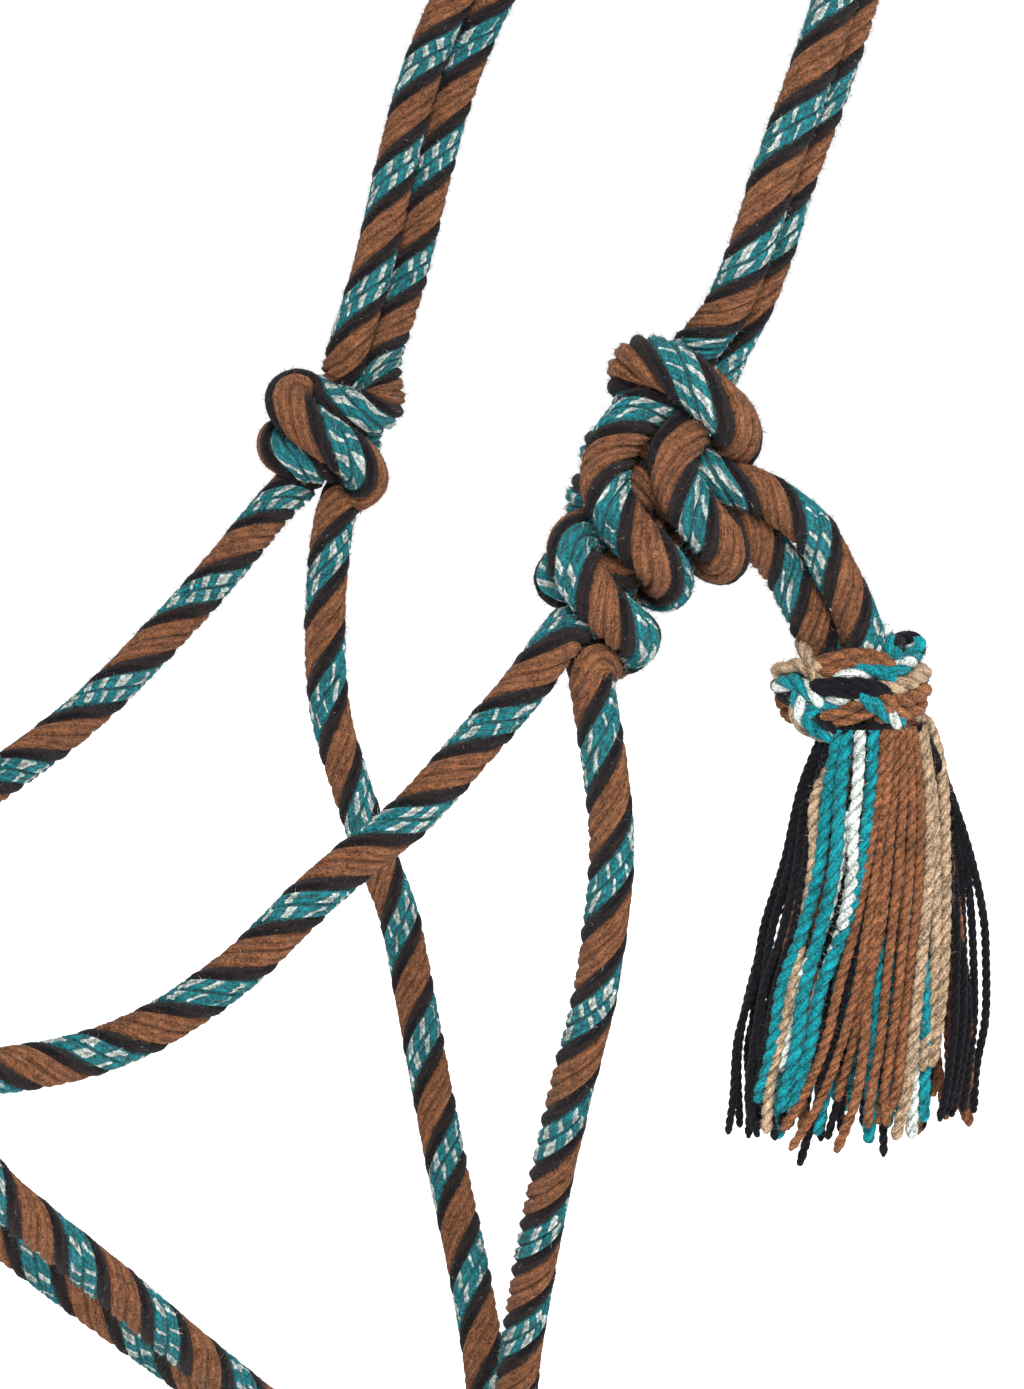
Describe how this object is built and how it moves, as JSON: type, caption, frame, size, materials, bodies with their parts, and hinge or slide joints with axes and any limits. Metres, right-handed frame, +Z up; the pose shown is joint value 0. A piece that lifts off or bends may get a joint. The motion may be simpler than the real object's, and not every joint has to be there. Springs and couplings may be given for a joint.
{
  "type": "rope halter",
  "caption": "Knotted rope halter for a horse's head, with a doubled crown and nose band, a tie knot with a tasselled tail, and a double loop for a lead.",
  "frame": {"origin": "underside of the doubled crown in the middle of the poll, where the horse's head holds the halter up", "axes": "+Z up, the horse's head faces -X, +Y to the horse's right (off) side, so the tie knot and its tassel are at -Y"},
  "size_m": [0.3751, 0.2288, 0.5972],
  "materials": {
    "laid_rope": "six-strand laid wool rope in brown, black and teal flecked with white, soft and fuzzy",
    "collar_yarn": "woven unlaid strands in black, teal, cream and brown wool",
    "brown_yarn": "plied wool yarn, matt",
    "black_yarn": "plied wool yarn, matt",
    "teal_yarn": "plied wool yarn, matt",
    "cream_yarn": "plied wool yarn, matt"
  },
  "bodies": {
    "halter": {"crown_front_rope": "laid_rope", "crown_rear_rope": "laid_rope", "off_side_knot": "laid_rope", "near_side_knot": "laid_rope", "tie_loop": "laid_rope", "tie_hitch": "laid_rope", "cheek_near": "laid_rope", "cheek_off": "laid_rope", "throat_near": "laid_rope", "throat_off": "laid_rope", "chin_near": "laid_rope", "chin_off": "laid_rope", "nose_knot_near": "laid_rope", "nose_knot_off": "laid_rope", "nose_band_lower": "laid_rope", "nose_band_upper": "laid_rope", "fiador_knot": "laid_rope", "tail_root_outer": "laid_rope", "tail_root_inner": "laid_rope"},
    "tail": {"tail_rope_outer": "laid_rope", "tail_rope_inner": "laid_rope", "tail_collar": "collar_yarn"},
    "tassel": {"tassel_black_front": "black_yarn", "tassel_teal": "teal_yarn", "tassel_brown": "brown_yarn", "tassel_cream": "cream_yarn", "tassel_black_rear": "black_yarn", "tassel_brown_inner": "brown_yarn", "tassel_teal_inner": "teal_yarn", "tassel_black_inner": "black_yarn"},
    "lead_loop": {"lead_loop_front": "laid_rope", "lead_loop_rear": "laid_rope"}
  },
  "joints": [
    {"name": "tail_swing", "type": "hinge", "parent": "halter", "child": "tail", "pos_m": [-0.0435, -0.0985, -0.203], "axis": [0, 1, 0], "range_deg": [-40, 8]},
    {"name": "tassel_swing", "type": "hinge", "parent": "tail", "child": "tassel", "pos_m": [-0.0275, -0.1, -0.241], "axis": [0, 1, 0], "range_deg": [-20, 10]},
    {"name": "lead_loop_swing", "type": "hinge", "parent": "halter", "child": "lead_loop", "pos_m": [-0.077, 0, -0.488], "axis": [0, 1, 0], "range_deg": [-40, 40]}
  ]
}
